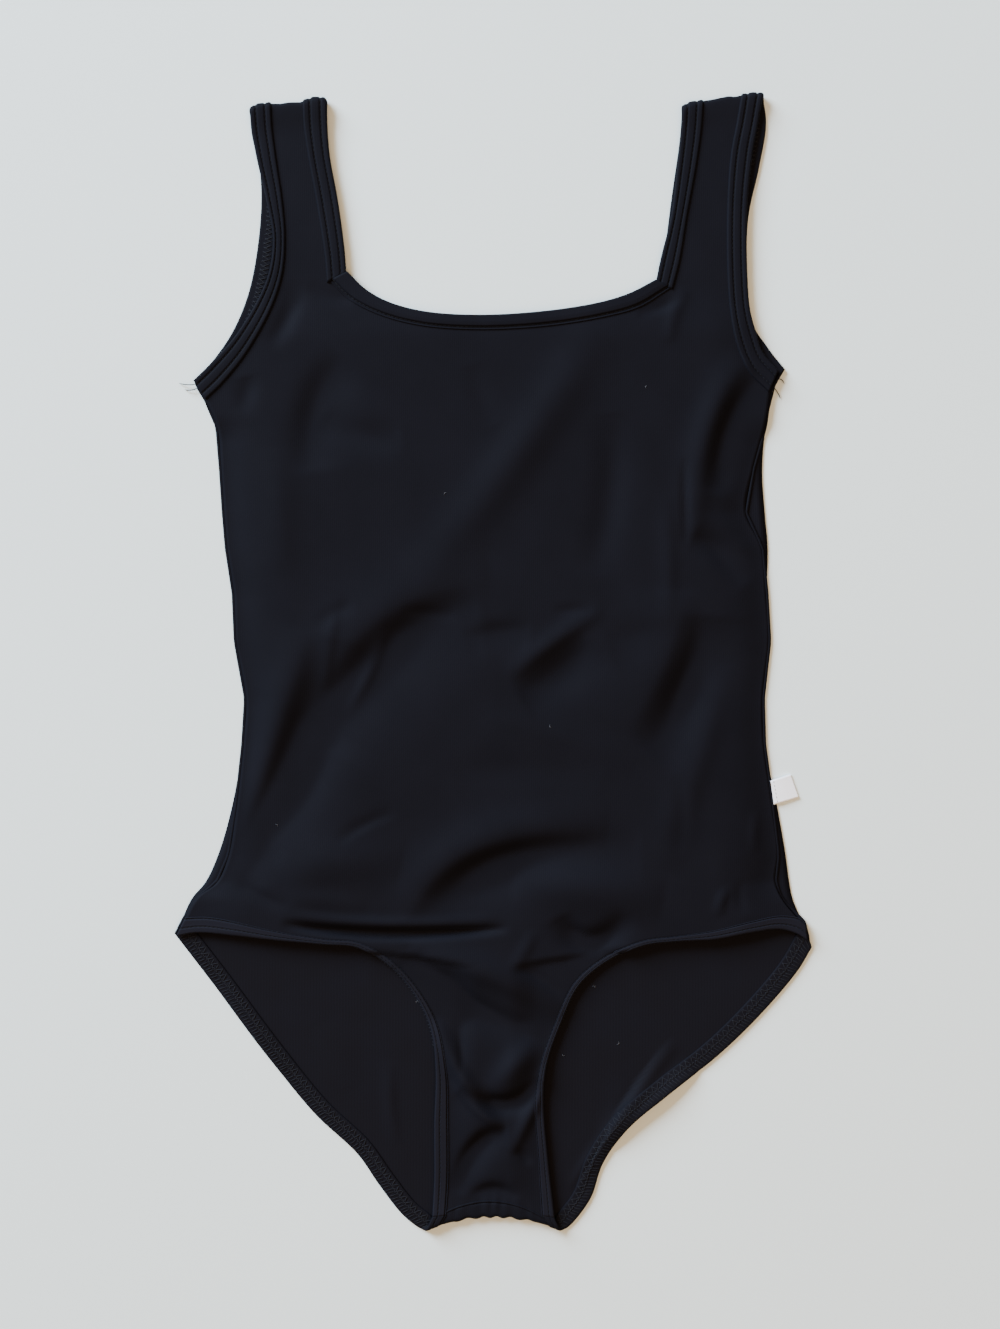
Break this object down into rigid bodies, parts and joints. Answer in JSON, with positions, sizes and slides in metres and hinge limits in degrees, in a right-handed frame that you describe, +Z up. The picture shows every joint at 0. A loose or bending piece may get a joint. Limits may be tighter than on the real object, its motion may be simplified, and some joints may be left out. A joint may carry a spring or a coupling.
{
  "type": "leotard",
  "caption": "Scoop-neck leotard with broad straps and high-cut elastic leg openings, laid flat on its back, with a small side-seam label",
  "frame": {"origin": "middle of the outline seen from above, on the table that the garment lies on", "axes": "X to the right as seen from above, Y towards the shoulders, Z up off the table"},
  "size_m": [0.347, 0.6184, 0.0098],
  "materials": {
    "knit": "black nylon and elastane jersey, soft satin sheen",
    "binding": "the same jersey folded over elastic and cover-stitched",
    "casing": "the same jersey turned over elastic, twin-needle stitched",
    "label": "white woven satin ribbon"
  },
  "bodies": {
    "root": {"front": "knit", "back": "knit", "neck_band_front": "binding", "neck_band_back": "binding", "armhole_band_left": "binding", "armhole_band_right": "binding", "leg_casing_front_left": "casing", "leg_casing_front_right": "casing", "leg_casing_back_left": "casing", "leg_casing_back_right": "casing", "side_label": "label"}
  },
  "joints": []
}
